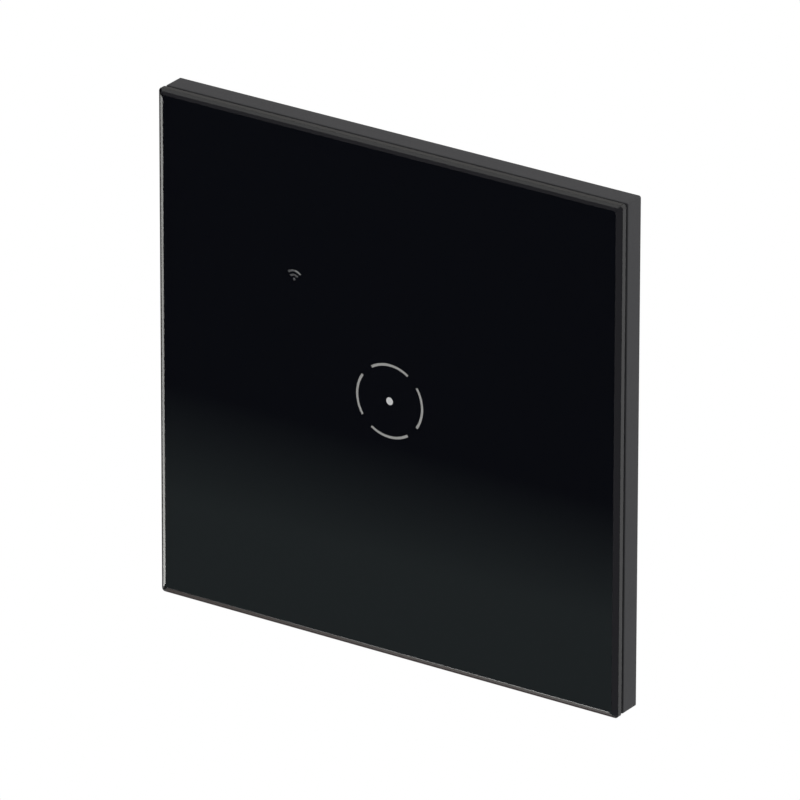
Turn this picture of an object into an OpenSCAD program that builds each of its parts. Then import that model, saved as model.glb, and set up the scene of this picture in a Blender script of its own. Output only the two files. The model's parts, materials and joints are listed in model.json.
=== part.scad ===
// Touch light switch for a single square wall box: a glass panel on a frame, and the module behind it.
// The rear face of the frame, which lies on the wall, is the plane y = 0. The glass faces -Y and +Z is up.

/* [Glass panel] */
// Width and height of the square glass plate
plate_w = 86; // [80:0.5:94]
// Corner radius of the glass plate
corner_r = 0.6; // [0.5:0.1:2]
// Thickness of the glass
glass_t = 1.5; // [1.3:0.1:3]
// Width of the bevel around the front face
bevel_w = 1; // [0.5:0.1:1.5]
// Depth of the bevel around the front face
bevel_d = 0.4; // [0.2:0.1:0.8]
// Arris ground off the rear edge of the glass
arris = 0.3; // [0.1:0.1:0.4]
// Thickness of the black print on the rear of the glass
ink_t = 0.1; // [0.05:0.05:0.2]
// Thickness of the bond tape and of the diffuser film beside it
tape_t = 0.2; // [0.1:0.05:0.4]
// Thickness of the moulded carrier behind the glass
carrier_t = 1.2; // [0.8:0.1:1.5]

/* [Touch marks] */
// Middle radius of the broken touch ring
mark_r = 6.07; // [5.8:0.01:6.8]
// Line width of the touch ring
mark_line = 0.45; // [0.3:0.05:0.8]
// Angle of each of the ring's four arcs
mark_sweep = 68; // [40:1:84]
// Radius of the lit dot in the ring
dot_r = 0.65; // [0.4:0.05:1]
// Distance of the signal mark from the left edge of the boards
signal_side = 4.9; // [3.8:0.1:9.8]
// Distance of the centre of the signal mark's arcs from the top edge of the boards
signal_top = 6.85; // [5.8:0.05:8.8]
// Radius of the outer arc of the signal mark
signal_r = 1.8; // [1.6:0.05:2.2]
// Step between the two arcs of the signal mark
signal_step = 0.7; // [0.6:0.05:1]
// Line width of the signal mark
signal_line = 0.36; // [0.2:0.02:0.5]
// Angle of the signal mark's arcs
signal_sweep = 82; // [50:1:100]
// Radius of the signal mark's dot
signal_dot_r = 0.25; // [0.2:0.01:0.4]
// Height of the signal mark's dot over the centre of its arcs
signal_dot_up = 0.38; // [0.3:0.02:0.5]

/* [Mounting frame] */
// Shadow gap between the glass and the frame
shadow_gap = 0.6; // [0.4:0.1:1]
// Inset of the frame's side from the glass edge
frame_inset = 0.15; // [0:0.05:0.5]
// Depth of the frame's side from the wall
frame_d = 3.7; // [3.4:0.1:6]
// Thickness of the frame's side
frame_wall = 1.2; // [1:0.1:2]
// Thickness of the frame's floor
floor_t = 1.8; // [1.5:0.1:2]
// Distance between the two fixing screws
fixing_centres = 60.3; // [59:0.1:64]
// Width of the fixing slots
slot_w = 4; // [3.6:0.1:4.6]
// Length of the fixing slots from end to end
slot_l = 6.5; // [5:0.1:7]
// Width of the notch for prising the panel off
pry_w = 9; // [5:0.5:14]
// Width of each snap hook on the carrier
hook_w = 8; // [5:0.5:12]
// Thickness of each snap hook
hook_t = 1; // [0.8:0.1:1.5]
// Distance between the two hooks on one side
hook_spacing = 44; // [30:1:56]
// Reach of the barb on each hook
barb = 0.45; // [0.35:0.05:0.6]

/* [Rear housing] */
// Width and height of the square housing
housing_w = 50; // [48:0.5:54]
// Depth of the housing behind the wall face
housing_d = 24; // [23:0.5:32]
// Wall of the housing
housing_wall = 1.6; // [1.2:0.1:2]
// Radius of the housing's corners
housing_r = 3; // [2:0.1:4]
// Chamfer around the housing's rear face
housing_edge = 1.2; // [0.6:0.1:1.5]
// Depth of the frame's seat for the housing
seat_d = 0.7; // [0.4:0.1:1]
// Radius of the bosses for the housing screws
boss_r = 2.6; // [2.2:0.1:3]
// Width of each ventilation slot
vent_w = 1.6; // [1:0.1:2.5]
// Length of each ventilation slot
vent_l = 9; // [5:0.5:12]

/* [Boards] */
// Distance of the sensor board behind the wall face
sensor_set = 0.4; // [0.3:0.1:1]
// Thickness of the sensor board
sensor_t = 1; // [0.8:0.1:1.6]
// Distance between the sensor board and the power board
board_gap = 2; // [1.6:0.1:3]
// Thickness of the power board
power_t = 1.6; // [1:0.1:2]
// Wire diameter of the touch spring
spring_wire = 0.45; // [0.3:0.05:0.5]
// Radius of the touch spring at the board
spring_r0 = 3; // [2.4:0.1:3.4]
// Radius of the touch spring at the glass
spring_r1 = 4.1; // [3.4:0.1:4.2]
// Turns of the touch spring
spring_turns = 4; // [3:0.5:4]

/* [Terminals] */
// Distance between neighbouring terminals
pole_pitch = 7.62; // [7:0.01:8.2]
// Radius of each wire entry
wire_r = 1.6; // [1.3:0.05:1.8]
// Radius of the terminal screw's thread
screw_r = 1.5; // [1.25:0.05:1.75]
// Radius of the terminal screw's head
head_r = 2.2; // [2:0.05:2.6]
// Height of the terminal screw's head
head_h = 2; // [1.5:0.1:2.4]
// Travel of the clamp cage
clamp_travel = 2.5; // [2:0.1:3]

/* [Relay] */
// Length of the relay
relay_l = 18.4; // [17:0.1:20]
// Width of the relay
relay_w = 10.2; // [9.6:0.1:11]
// Height of the relay
relay_h = 15.3; // [14:0.1:16.5]
// Radius of the coil's flanges
coil_r = 3.9; // [3.4:0.1:4]

/* [Power parts] */
// Width and height of the transformer's core
core_w = 10.4; // [9.6:0.1:11]
// Thickness of the transformer's core
core_t = 5; // [4:0.1:5.4]
// Radius of the larger electrolytic capacitor
large_cap_r = 4; // [3.5:0.1:4.2]
// Height of the larger electrolytic capacitor
large_cap_h = 12; // [10:0.5:15]
// Radius of the smaller electrolytic capacitor
small_cap_r = 3.15; // [2.5:0.05:3.2]
// Height of the smaller electrolytic capacitor
small_cap_h = 11; // [8:0.5:14]
// Length of the film capacitor
film_cap_l = 13; // [10:0.5:14]
// Width of the film capacitor
film_cap_w = 6; // [5:0.1:6.4]
// Height of the film capacitor
film_cap_h = 11.5; // [9:0.5:14]
// Radius of the varistor's disc
varistor_r = 4; // [3:0.1:4.4]
// Radius of the fuse's body
fuse_r = 1.7; // [1.2:0.1:2]
// Length of the fuse's body
fuse_l = 8; // [6:0.5:9]

/* [Hidden] */
$fn = 64;

// How far a cut runs past the face that it opens
over = 1;

// Clearances
panel_clear = 0.25;
hook_clear = 0.15;
barb_clear = 0.1;
seat_clear = 0.2;
board_clear = 0.6;
hole_clear = 0.2;
thread_clear = 0.03;
pin_clear = 0.05;
light_clear = 0.2;
cage_clear = 0.3;
led_clear = 0.1;
spring_clear = 0.4;
window_clear = 0.4;
block_gap = 0.2;
part_gap = 0.6;

// Stack of the panel from the glass face back, and the frame
y_floor = -floor_t;
y_rim = -frame_d;
y_glass = y_rim - shadow_gap;
y_face = y_glass - glass_t;
y_ink = y_glass + ink_t;
y_film = y_ink + tape_t;
y_carrier = y_film + carrier_t;

// Frame outline, hooks and pockets
frame_w = plate_w - 2 * frame_inset;
frame_corner_r = 0.35;
frame_edge = [0.1, 0.1];
rim_half = frame_w / 2 - frame_wall;
rim_inner_r = 0.6;
carrier_half = rim_half - panel_clear;
tape_inset = 0.4;
window_r = 1;
hook_tip = y_floor - hook_clear;
barb_h = 0.6;
pry_d = 1.3;
screw_pocket_r = 4.6;
slot_pad_h = 0.4;
floor_rib = [1, 0.5];
floor_rib_spacing = 28;

// Housing, its bosses and the boards in it
y_back = housing_d - housing_wall;
room_half = housing_w / 2 - housing_wall;
room_r = 1.6;
board_half = room_half - board_clear;
boss_bite = 0.6;
boss_c = room_half - boss_r + boss_bite;
lug_wall = 0.4;
lug_r = boss_r + lug_wall;
window_lap = 0.4;
window_half = board_half - window_lap;
y_sensor = sensor_set;
y_sensor_rear = y_sensor + sensor_t;
y_power = y_sensor_rear + board_gap;
y_parts = y_power + power_t;
post_r = 2.3;
post_edge = 0.3;
post_x = board_half - post_r - post_edge;
post_inner = post_x - post_r;
post_rib = 1.2;
vents = 7;
vent_pitch = 4.4;

// Screws of the housing and of the boards, with heads as [radius, height]
housing_screw_r = 1.1;
housing_screw_head = [2.2, 1.3];
housing_screw_l = 9;
board_screw_r = 1;
board_screw_head = [1.9, 1.1];
board_screw_l = 11;
head_edge = 0.5;
head_crown = 0.6;
recess = [0.6, 2.4, 0.8];
carrier_window = 2 * (window_half + window_clear);
screw_notch_r = housing_screw_head[0] + window_clear;

// Light parts in front of the sensor board
light_end = y_film + light_clear;
led_size = [1.6, 0.5, 0.8];
cup_wall = 0.6;
cup_inner_r = spring_r1 + spring_wire / 2 + spring_clear;
cup_room = 1.1;
cup_outer_r = mark_r + mark_line / 2 + cup_room;
cup_rib = 0.8;
dot_pipe_r = 1.3;
signal_x = signal_side - board_half;
signal_z = board_half - signal_top;
signal_mark_z = signal_z + signal_r / 2;
signal_bore = 1.5;
signal_wall = 0.5;
spring_sides = 6;
spring_rings = 20;

// Pin header between the boards
header_pins_n = 6;
header_pitch = 2.54;
header_pin = 0.64;
header_in = 3.3;
header_z = board_half - header_in;
header_depth = 2.4;
header_end = 1;

// Chip on the front of the sensor board
chip_size = [4.9, 1.5, 3.9];
chip_in = [9.8, 10.8];
chip_pos = chip_in - [board_half, board_half];
chip_legs = 4;
chip_pitch = 1.27;
chip_leg = [0.4, 0.8, 0.6];
leg_bite = 0.2;
chip_stand = 0.15;

// Wireless board between the light shroud, the header and a boss
wireless_size = [15, 0.8];
wireless_x1 = boss_c - boss_r - part_gap;
wireless_x0 = wireless_x1 - wireless_size[0];
wireless_z0 = cup_outer_r + cup_wall + part_gap;
wireless_z1 = header_z - header_depth / 2 - part_gap;
y_wireless = y_sensor - wireless_size[1];
shield_l = 10.5;
shield_h = 2.1;
shield_wall = 0.25;
shield_margin = 0.6;

// Terminal block, from the back wall forward
poles = [-1, 0, 1];
y_block = y_back - block_gap;
y_head_top = y_block - block_gap;
y_head = y_head_top - head_h;
web_gap = 0.1;
web_t = 0.8;
y_web_top = y_head - web_gap;
y_web = y_web_top - web_t;
y_cage_top = y_web - cage_clear - clamp_travel;
nut_t = 1.5;
y_nut = y_cage_top - nut_t;
bar_t = 0.8;
bar_gap = 0.8;
y_bar_top = y_nut - bar_gap;
y_bar = y_bar_top - bar_t;
y_jaw = y_bar - cage_clear - clamp_travel;
cage_wall = 0.7;
jaw_t = 0.9;
y_cage = y_jaw - jaw_t;
y_chamber = y_cage - cage_clear;
wire_y = (y_jaw + y_bar) / 2;
cage_room = 0.4;
cage_window = 2 * max(wire_r, screw_r) + cage_room;
cage_w = cage_window + 2 * cage_wall;
cage_d = 4.6;
chamber_w = cage_w + 2 * cage_clear;
block_side = 1.4;
block_w = 2 * pole_pitch + chamber_w + 2 * block_side;
entry_wall = 1.8;
leg_gap = 0.9;
leg_w = 2.4;
bar_w = 3;
block_z = -board_half + block_gap;
chamber_z = block_z + entry_wall;
cage_z = chamber_z + cage_clear;
screw_z = cage_z + cage_d / 2;
chamber_end = cage_z + cage_d + leg_gap + bar_t + pin_clear;
block_wall = 0.8;
block_end = chamber_end + block_wall;
leg_z = chamber_end - pin_clear - bar_t;
leg_foot = 0.6;
driver_slot = [0.8, 1];
entry_room = 1.8;
entry_window_h = 2 * wire_r + entry_room;

// Relay inside its case
relay_x = part_gap - post_inner;
relay_end = relay_x + relay_l;
relay_z = block_end + part_gap;
relay_mid = relay_z + relay_w / 2;
relay_top = y_parts + relay_h;
relay_wall = 0.8;
relay_fit = 0.05;
relay_base_t = 1.2;
y_relay = y_parts + relay_base_t;
iron_t = 1.2;
iron_gap = 0.7;
iron_w = relay_w - 2 * (relay_wall + iron_gap);
yoke_gap = 0.8;
yoke_end = relay_end - relay_wall - yoke_gap;
coil_gap = 0.4;
coil_x = yoke_end - iron_t - coil_gap - coil_r;
arm_room = 2.8;
y_arm = relay_top - relay_wall - arm_room;
arm_t = 0.8;
arm_gap = 0.5;
knife_gap = 0.3;
y_pole = y_arm - arm_gap;
pole_t = 0.6;
pole_r = 2.6;
core_r = 1.5;
flange_t = 0.7;
bobbin_wall = 0.4;
winding_gap = 0.05;
flange_lip = 0.4;
winding_r = coil_r - flange_lip;
leaf_t = 0.2;
leaf_w = 3;
contact_r = 1.2;
contact_in = 2.4;
contact_x = relay_x + relay_wall + contact_in;
contact_gap = 0.6;
contact_t = 0.6;
leaf_end = 0.2;
foot_gap = 0.6;

// Power parts, set out in rows from the terminal block upward
caps_z = block_end + part_gap + large_cap_r;
large_cap_x = relay_end + part_gap + large_cap_r;
small_cap_x = large_cap_x + large_cap_r + part_gap + small_cap_r;
can_edge = 0.4;
can_groove = [1.6, 0.5, 0.4];
transformer_x = post_inner - part_gap - core_w;
transformer_z = caps_z + large_cap_r + part_gap;
transformer_h = 4.5;
transformer_y = y_parts + transformer_h;
transformer_mid = transformer_z + core_w / 2;
core_yoke = 1.6;
core_leg = 2.6;
bobbin_t = 0.6;
bobbin_fit = 0.1;
winding_inset = [0.3, 0.2];
film_cap_in = 2.6;
film_cap_x = relay_x + film_cap_in;
film_cap_z = relay_z + relay_w + part_gap;
varistor_t = 4;
varistor_edge = 0.8;
varistor_x = film_cap_x + film_cap_l / 2;
varistor_z = film_cap_z + film_cap_w + part_gap;
lead_r = 0.3;
lead_h = 1.2;
lead_spread = 0.6;
fuse_lead = 1.2;
fuse_stand = 0.2;
fuse_x = transformer_x + core_w - fuse_lead - fuse_l;
fuse_z = transformer_z + core_w + part_gap + fuse_r;
bridge_size = [6.4, 2.4, 4.6];
bridge_leg = [0.8, 0.5, 1.4];
bridge_leg_in = 1.2;
bridge_leg_out = 0.8;
bridge_stand = 0.15;
bridge_x = varistor_x + varistor_r + part_gap;
bridge_z = varistor_z + bridge_leg_out;

// Box between two corners
module box(lo, hi) translate(lo) cube(hi - lo);

// Drawing in the XZ plane, given the depth from y0 back to y1
module slab(y0, y1) translate([0, y1, 0]) rotate([90, 0, 0]) linear_extrude(y1 - y0) children();

// Round bar along Y
module rod(x, z, r, y0, y1) translate([x, y1, z]) rotate([90, 0, 0]) cylinder(r = r, h = y1 - y0);

// Round tube along Y
module tube(x, z, r, bore, y0, y1) difference() {
  rod(x, z, r, y0, y1);
  rod(x, z, bore, y0 - over, y1 + over);
}

// Turned piece along Y: the profile is [radius, height towards the front] above y
module turned(x, y, z, profile) translate([x, y, z]) rotate([90, 0, 0]) rotate_extrude() polygon(profile);

// Turned piece along Y whose heights run back from y
module turned_back(x, y, z, profile) translate([x, y, z])
  rotate([-90, 0, 0]) rotate_extrude() polygon(profile);

// Copies at the four corners of a square
module corners(c) for (x = [-c, c], z = [-c, c]) translate([x, 0, z]) children();

// Copies on the four sides of a square, the first on +X
module sides() for (turn = [0 : 90 : 270]) rotate([0, turn, 0]) children();

module rounded_square(w, r) {
  square([w - 2 * r, w], center = true);
  square([w, w - 2 * r], center = true);
  for (x = [-1, 1], y = [-1, 1]) translate([x, y] * (w / 2 - r)) circle(r);
}

// Right half of a plate's section, from the rear at height 0 to the front at height t.
// The edges are chamfers given as [width, depth].
function half_section(reach, t, front, rear) = [
  if (rear[0] > 0) [reach - rear[0], 0],
  [reach, rear[1]],
  [reach, t - front[1]],
  if (front[0] > 0) [reach - front[0], t]];

function mirrored(points) = [for (i = [len(points) - 1 : -1 : 0]) [-points[i][0], points[i][1]]];

// Square plate with round corners and chamfered front and rear edges, from y0 back to y1
module edged_plate(w, r, y0, y1, front, rear) {
  t = y1 - y0;
  side = half_section(w / 2, t, front, rear);
  corner = half_section(r, t, front, rear);
  translate([0, y1, 0]) rotate([90, 0, 0]) {
    for (turn = [0, 90])
      rotate(turn) rotate([90, 0, 90]) linear_extrude(w - 2 * r, center = true)
        polygon(concat(side, mirrored(side)));
    for (turn = [0 : 90 : 270])
      rotate(turn) translate([1, 1] * (w / 2 - r)) rotate_extrude(angle = 90)
        polygon(concat([[0, t], [0, 0]], corner));
  }
}

// Arc band drawn around a centre, symmetric about the direction given
module arc_band(r, line, sweep, direction) {
  far = 2 * r / cos(sweep / 2);
  intersection() {
    difference() {
      circle(r + line / 2);
      circle(r - line / 2);
    }
    polygon([[0, 0],
             far * [cos(direction - sweep / 2), sin(direction - sweep / 2)],
             far * [cos(direction + sweep / 2), sin(direction + sweep / 2)]]);
  }
}

// Broken ring with a dot at the middle of the plate, and the signal mark of a dot under two arcs
module marks() {
  for (direction = [0 : 90 : 270]) arc_band(mark_r, mark_line, mark_sweep, direction);
  circle(dot_r);
  translate([signal_x, signal_z]) {
    for (r = [signal_r - signal_step, signal_r]) arc_band(r, signal_line, signal_sweep, 90);
    translate([0, signal_dot_up]) circle(signal_dot_r);
  }
}

// Glass plate with a flat bevel ground on each side
module glass_panel() color("#0b0c0f") difference() {
  edged_plate(plate_w, corner_r, y_face, y_glass, [0, 0], [arris, arris]);
  sides() translate([plate_w / 2, y_face, 0]) linear_extrude(plate_w + 2 * over, center = true)
    polygon([[-2 * bevel_w, -bevel_d], [bevel_w, 2 * bevel_d], [bevel_w, -bevel_d]]);
}

module ink_mask() color("#050506") slab(y_glass, y_ink) difference() {
  rounded_square(plate_w - 2 * arris, corner_r - arris);
  marks();
}

module diffuser_film() color("#d9dbdc") slab(y_ink, y_film)
  rounded_square(carrier_window - 2 * window_clear, window_r);

module bond_tape() color("#26272a") slab(y_ink, y_film) difference() {
  rounded_square(2 * (carrier_half - tape_inset), rim_inner_r);
  square(carrier_window, center = true);
}

// Snap hook on the +X side, with its barb outward
module hook() {
  root = carrier_half - hook_t;
  translate([0, 0, -hook_w / 2]) linear_extrude(hook_w)
    polygon([[root, y_carrier - carrier_t / 2], [carrier_half, y_carrier - carrier_t / 2],
             [carrier_half, hook_tip - barb_h], [carrier_half + barb, hook_tip - barb_h / 2],
             [carrier_half, hook_tip], [root, hook_tip]]);
}

module panel_carrier() color("#1b1c1f") {
  slab(y_film, y_carrier) difference() {
    rounded_square(2 * carrier_half, rim_inner_r);
    rounded_square(carrier_window, window_r);
    for (x = [-1, 1], z = [-1, 1]) translate([x, z] * boss_c) circle(screw_notch_r);
    for (x = [-1, 1]) translate([x * fixing_centres / 2, 0]) circle(screw_pocket_r);
  }
  sides() for (z = [-1, 1]) translate([0, 0, z * hook_spacing / 2]) hook();
}

// Pocket in the frame's side for one hook's barb
module hook_pocket() box(
  [rim_half - over, hook_tip - barb_h - barb_clear, -hook_w / 2 - panel_clear],
  [carrier_half + barb + panel_clear, y_floor, hook_w / 2 + panel_clear]);

module fixing_slots() for (x = [-1, 1]) translate([x * fixing_centres / 2, 0]) {
  square([slot_l - slot_w, slot_w], center = true);
  for (end = [-1, 1]) translate([end * (slot_l - slot_w) / 2, 0]) circle(d = slot_w);
}

// Tray of the frame, with a pad round each fixing and stiffening ribs on its floor
module frame_tray() {
  difference() {
    edged_plate(frame_w, frame_corner_r, y_rim, 0, frame_edge, frame_edge);
    slab(y_rim - over, y_floor) rounded_square(2 * rim_half, rim_inner_r);
  }
  for (x = [-1, 1])
    rod(x * fixing_centres / 2, 0, screw_pocket_r - panel_clear, y_floor - slot_pad_h, y_floor / 2);
  sides() for (z = [-1, 1]) translate([0, 0, z * floor_rib_spacing / 2])
    box([window_half, y_floor - floor_rib[1], -floor_rib[0] / 2],
        [rim_half + frame_wall / 2, y_floor / 2, floor_rib[0] / 2]);
}

module mounting_frame() color("#2a2b2e") difference() {
  frame_tray();
  slab(y_floor - over, over) difference() {
    square(2 * window_half, center = true);
    for (x = [-1, 1], z = [-1, 1]) translate([x, z] * boss_c) circle(lug_r);
  }
  slab(-seat_d, over) rounded_square(housing_w + 2 * seat_clear, housing_r + seat_clear);
  slab(y_floor - over, over) fixing_slots();
  corners(boss_c) rod(0, 0, housing_screw_r + hole_clear, y_floor - over, over);
  sides() for (z = [-1, 1]) translate([0, 0, z * hook_spacing / 2]) hook_pocket();
  box([-pry_w / 2, y_rim - over, -frame_w / 2 - over], [pry_w / 2, y_rim + pry_d, -rim_half + over]);
}

// Shroud that splits the light of the four ring arcs, one chamber for each
module light_shroud() color("#e8e8e4") {
  tube(0, 0, cup_outer_r + cup_wall, cup_outer_r, light_end, y_sensor);
  tube(0, 0, cup_inner_r + cup_wall, cup_inner_r, light_end, y_sensor);
  for (turn = [45 : 90 : 315]) rotate([0, turn, 0])
    box([cup_inner_r + cup_wall / 2, light_end, -cup_rib / 2],
        [cup_outer_r + cup_wall / 2, y_sensor, cup_rib / 2]);
}

module dot_light_pipe() color("#eef2f4") difference() {
  rod(0, 0, dot_pipe_r, light_end, y_sensor);
  pocket = [led_size[0] / 2, led_size[1], led_size[2] / 2] + [led_clear, led_clear, led_clear];
  box([-pocket[0], y_sensor - pocket[1], -pocket[2]], [pocket[0], y_sensor + over, pocket[2]]);
}

module signal_light_pipe() color("#e8e8e4")
  tube(signal_x, signal_mark_z, signal_bore + signal_wall, signal_bore, light_end, y_sensor);

// Points along the touch spring's wire, from the board to the glass
spring_span = [y_sensor - spring_wire / 2, light_end + spring_wire / 2];
function spring_angle(i) = 360 * i / spring_rings;
function spring_r(t) = spring_r0 + (spring_r1 - spring_r0) * t;
function spring_point(i, n) = let (a = spring_angle(i), t = i / n)
  [spring_r(t) * cos(a), spring_span[0] + (spring_span[1] - spring_span[0]) * t, spring_r(t) * sin(a)];

// Tube of triangles swept along the spring
module touch_spring() color("#c9a24a") {
  n = spring_turns * spring_rings;
  wire = [for (i = [0 : n]) spring_point(i, n)];
  steps = [for (i = [0 : n - spring_rings]) norm(wire[i + spring_rings] - wire[i])];
  echo(least_gap = min(steps) - spring_wire);
  points = [for (i = [0 : n], k = [0 : spring_sides - 1])
    let (a = spring_angle(i), b = 360 * k / spring_sides, q = spring_wire / 2)
    wire[i] + q * [cos(b) * cos(a), sin(b), cos(b) * sin(a)]];
  skin = [for (i = [0 : n - 1], k = [0 : spring_sides - 1])
    let (a = i * spring_sides + k, b = i * spring_sides + (k + 1) % spring_sides)
    each [[a, b, a + spring_sides], [b, b + spring_sides, a + spring_sides]]];
  ends = [for (k = [1 : spring_sides - 2])
    each [[0, k + 1, k], [n * spring_sides, n * spring_sides + k, n * spring_sides + k + 1]]];
  polyhedron(points, concat(skin, ends), convexity = 8);
}

// Outline that both boards share, with room for the housing's bosses and the screws
module board_outline() difference() {
  square(2 * board_half, center = true);
  for (x = [-1, 1], z = [-1, 1]) translate([x, z] * boss_c) circle(boss_r + board_clear);
  for (x = [-1, 1]) translate([x * post_x, 0]) circle(board_screw_r + hole_clear);
  for (i = [0 : header_pins_n - 1])
    translate([header_x(i), header_z]) circle(header_pin * sqrt(2) / 2 + pin_clear);
}

function header_x(i) = (i - (header_pins_n - 1) / 2) * header_pitch;

module sensor_board() color("#1f5a3a") slab(y_sensor, y_sensor_rear) board_outline();

// Small lamp on the front of the sensor board
module led(x, z) translate([x, y_sensor, z])
  box([-led_size[0] / 2, -led_size[1], -led_size[2] / 2], [led_size[0] / 2, 0, led_size[2] / 2]);

module touch_leds() color("#f3efd8") {
  led(0, 0);
  for (turn = [0 : 90 : 270]) rotate([0, turn, 0]) led(0, mark_r);
}

module signal_led() color("#f3efd8") led(signal_x, signal_mark_z);

module touch_chip() color("#202124") translate([chip_pos[0], y_sensor, chip_pos[1]]) {
  half = chip_size / 2;
  box([-half[0], -chip_size[1], -half[2]], [half[0], -chip_stand, half[2]]);
  for (turn = [0, 180], i = [0 : chip_legs - 1]) rotate([0, turn, 0])
    translate([(i - (chip_legs - 1) / 2) * chip_pitch - chip_leg[0] / 2, 0, half[2] - leg_bite])
      box([0, -chip_leg[1], 0], [chip_leg[0], 0, chip_leg[2] + leg_bite]);
}

module wireless_board() color("#17324f")
  box([wireless_x0, y_wireless, wireless_z0], [wireless_x1, y_sensor, wireless_z1]);

module wireless_shield() color("#b9bcc0") {
  lo = [wireless_x0 + shield_margin, y_wireless - shield_h, wireless_z0 + shield_margin];
  hi = [lo[0] + shield_l, y_wireless, wireless_z1 - shield_margin];
  inner = [shield_wall, shield_wall, shield_wall];
  difference() {
    box(lo, hi);
    box(lo + inner, [hi[0] - shield_wall, hi[1] + over, hi[2] - shield_wall]);
  }
}

// Screw with a cross recess: the head is in front of y, and the thread is behind it
module screw(x, y, z, r, head, l) {
  difference() {
    turned(x, y, z, [[0, 0], [head[0], 0], [head[0], head[1] * head_edge], [head[0] * head_crown, head[1]],
                     [0, head[1]]]);
    for (turn = [0, 90]) translate([x, y - head[1], z]) rotate([0, turn, 0])
      cube([recess[0], 2 * recess[2], recess[1]], center = true);
  }
  rod(x, z, r, y - head[1] + recess[2], y + l);
}

module board_screws() color("#c6c8cb") for (x = [-1, 1])
  screw(x * post_x, y_sensor, 0, board_screw_r, board_screw_head, board_screw_l);

module board_spacers() color("#e6e6e2") for (x = [-1, 1])
  tube(x * post_x, 0, post_r, board_screw_r + hole_clear, y_sensor_rear, y_power);

module header_body() color("#18191b") difference() {
  w = header_pins_n * header_pitch;
  box([-w / 2, y_sensor_rear, header_z - header_depth / 2], [w / 2, y_power, header_z + header_depth / 2]);
  for (i = [0 : header_pins_n - 1]) translate([header_x(i), (y_sensor_rear + y_power) / 2, header_z])
    cube([header_pin + 2 * pin_clear, board_gap + 2 * over, header_pin + 2 * pin_clear], center = true);
}

module header_pins() color("#d4b25a") for (i = [0 : header_pins_n - 1]) translate([header_x(i), 0, header_z])
  box([-header_pin / 2, y_sensor - header_end, -header_pin / 2],
      [header_pin / 2, y_parts + header_end, header_pin / 2]);

module power_board() color("#1f5a3a") difference() {
  slab(y_power, y_parts) board_outline();
  for (pole = poles) box(
    [pole * pole_pitch - leg_w / 2 - pin_clear, y_power - over, leg_z - pin_clear],
    [pole * pole_pitch + leg_w / 2 + pin_clear, y_parts + over, leg_z + bar_t + pin_clear]);
}

module relay_base() color("#1b1c1e") box(
  [relay_x + relay_wall + relay_fit, y_parts, relay_z + relay_wall + relay_fit],
  [relay_end - relay_wall - relay_fit, y_relay, relay_z + relay_w - relay_wall - relay_fit]);

module relay_case() color("#2c5f9e") difference() {
  box([relay_x, y_parts, relay_z], [relay_end, relay_top, relay_z + relay_w]);
  box([relay_x + relay_wall, y_parts - over, relay_z + relay_wall],
      [relay_end - relay_wall, relay_top - relay_wall, relay_z + relay_w - relay_wall]);
}

module relay_yoke() color("#9a9da1") {
  box([coil_x - coil_r, y_relay, relay_mid - iron_w / 2],
      [yoke_end, y_relay + iron_t, relay_mid + iron_w / 2]);
  box([yoke_end - iron_t, y_relay, relay_mid - iron_w / 2],
      [yoke_end, y_arm - knife_gap, relay_mid + iron_w / 2]);
}

module relay_core() color("#b4b7bb") {
  rod(coil_x, relay_mid, core_r, y_relay + iron_t, y_pole);
  rod(coil_x, relay_mid, pole_r, y_pole - pole_t, y_pole);
}

// Flanged bobbin on the core, under the pole cap
bobbin_y0 = y_relay + iron_t;
bobbin_y1 = y_pole - pole_t;
bobbin_r = core_r + relay_fit + bobbin_wall;
module relay_bobbin() color("#efe9d6") difference() {
  union() {
    rod(coil_x, relay_mid, coil_r, bobbin_y0, bobbin_y0 + flange_t);
    rod(coil_x, relay_mid, coil_r, bobbin_y1 - flange_t, bobbin_y1);
    rod(coil_x, relay_mid, bobbin_r, bobbin_y0, bobbin_y1);
  }
  rod(coil_x, relay_mid, core_r + relay_fit, bobbin_y0 - over, bobbin_y1 + over);
}

module relay_winding() color("#a8622e") tube(coil_x, relay_mid, winding_r, bobbin_r + winding_gap,
  bobbin_y0 + flange_t + winding_gap, bobbin_y1 - flange_t - winding_gap);

module relay_armature() color("#a6a9ad") box(
  [coil_x - coil_r, y_arm, relay_mid - iron_w / 2], [yoke_end, y_arm + arm_t, relay_mid + iron_w / 2]);

module relay_contact_leaf() color("#c98f4a") {
  box([contact_x - contact_r - leaf_end, y_arm + arm_t, relay_mid - leaf_w / 2],
      [yoke_end - iron_t, y_arm + arm_t + leaf_t, relay_mid + leaf_w / 2]);
  rod(contact_x, relay_mid, contact_r, y_arm, y_arm + arm_t + leaf_t / 2);
}

module relay_fixed_contact() color("#c98f4a") {
  top = y_arm - contact_gap;
  foot_x = contact_x - contact_r - foot_gap;
  rod(contact_x, relay_mid, contact_r, top - 1.5 * contact_t, top);
  box([foot_x, top - 2 * contact_t, relay_mid - leaf_w / 2],
      [contact_x + contact_r, top - contact_t, relay_mid + leaf_w / 2]);
  box([foot_x, y_relay, relay_mid - leaf_w / 2],
      [foot_x + contact_t, top - contact_t, relay_mid + leaf_w / 2]);
}

// Window on one side of the core's middle leg
module core_window(side) {
  z0 = transformer_mid + side * core_leg / 2;
  z1 = transformer_mid + side * (core_w / 2 - core_leg / 2);
  box([transformer_x + core_yoke, transformer_y - core_t, min(z0, z1)],
      [transformer_x + core_w - core_yoke, transformer_y + core_t, max(z0, z1)]);
}

module transformer_core() color("#37393c") difference() {
  box([transformer_x, transformer_y - core_t / 2, transformer_z],
      [transformer_x + core_w, transformer_y + core_t / 2, transformer_z + core_w]);
  core_window(-1);
  core_window(1);
}

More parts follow.
